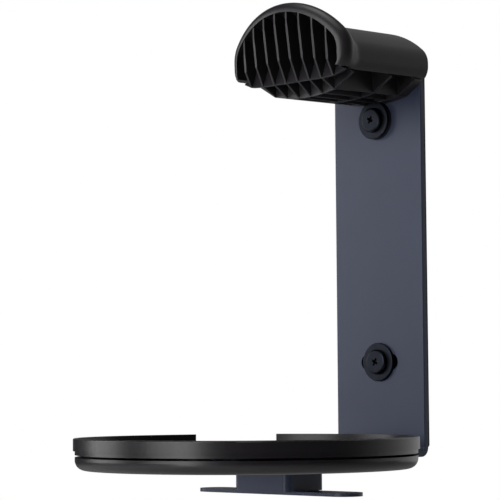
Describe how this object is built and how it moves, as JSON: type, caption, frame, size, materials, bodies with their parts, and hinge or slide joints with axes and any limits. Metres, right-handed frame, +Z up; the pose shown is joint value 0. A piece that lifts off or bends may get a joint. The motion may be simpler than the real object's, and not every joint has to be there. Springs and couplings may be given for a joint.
{
  "type": "headphone hook",
  "caption": "Wall strap with a ribbed plastic saddle for headphones, a round swivelling tray with a cable notch below it, and a cable winder under the tray.",
  "frame": {"origin": "on the wall plane, on the strap's centre line, midway between the two wall screws", "axes": "+Z up, +Y into the wall, +X to the right of someone facing the wall"},
  "size_m": [0.1542, 0.1889, 0.2255],
  "materials": {
    "powder_coat": "satin blue-black powder coat on steel, fine orange-peel texture",
    "black_steel": "black zinc plated steel, satin",
    "zinc_steel": "bright zinc plated steel",
    "brass": "knurled brass",
    "rubber": "matt black rubber",
    "saddle_plastic": "fine spark-eroded matt black nylon",
    "tray_plastic": "satin black ABS",
    "acetal": "natural white acetal"
  },
  "bodies": {
    "frame": {"bracket": "powder_coat", "wall_pad": "rubber", "mounting_screws": "black_steel", "penny_washers": "black_steel", "upper_spacer": "rubber", "saddle_shell": "saddle_plastic", "saddle_core": "saddle_plastic", "saddle_inserts": "brass", "saddle_screws": "zinc_steel", "pivot_stud": "zinc_steel", "pivot_washer": "zinc_steel", "pivot_retainer": "zinc_steel", "glide_washer": "acetal", "tray_base": "tray_plastic", "base_screws": "zinc_steel", "winder_post": "powder_coat", "winder_plate": "powder_coat", "winder_screws": "black_steel"},
    "tray": {"swivel_tray": "tray_plastic", "pivot_bush": "acetal"}
  },
  "joints": [
    {"name": "tray_swivel", "type": "hinge", "parent": "frame", "child": "tray", "pos_m": [0, -0.0968, -0.099], "axis": [0, 0, 1], "continuous": true}
  ]
}
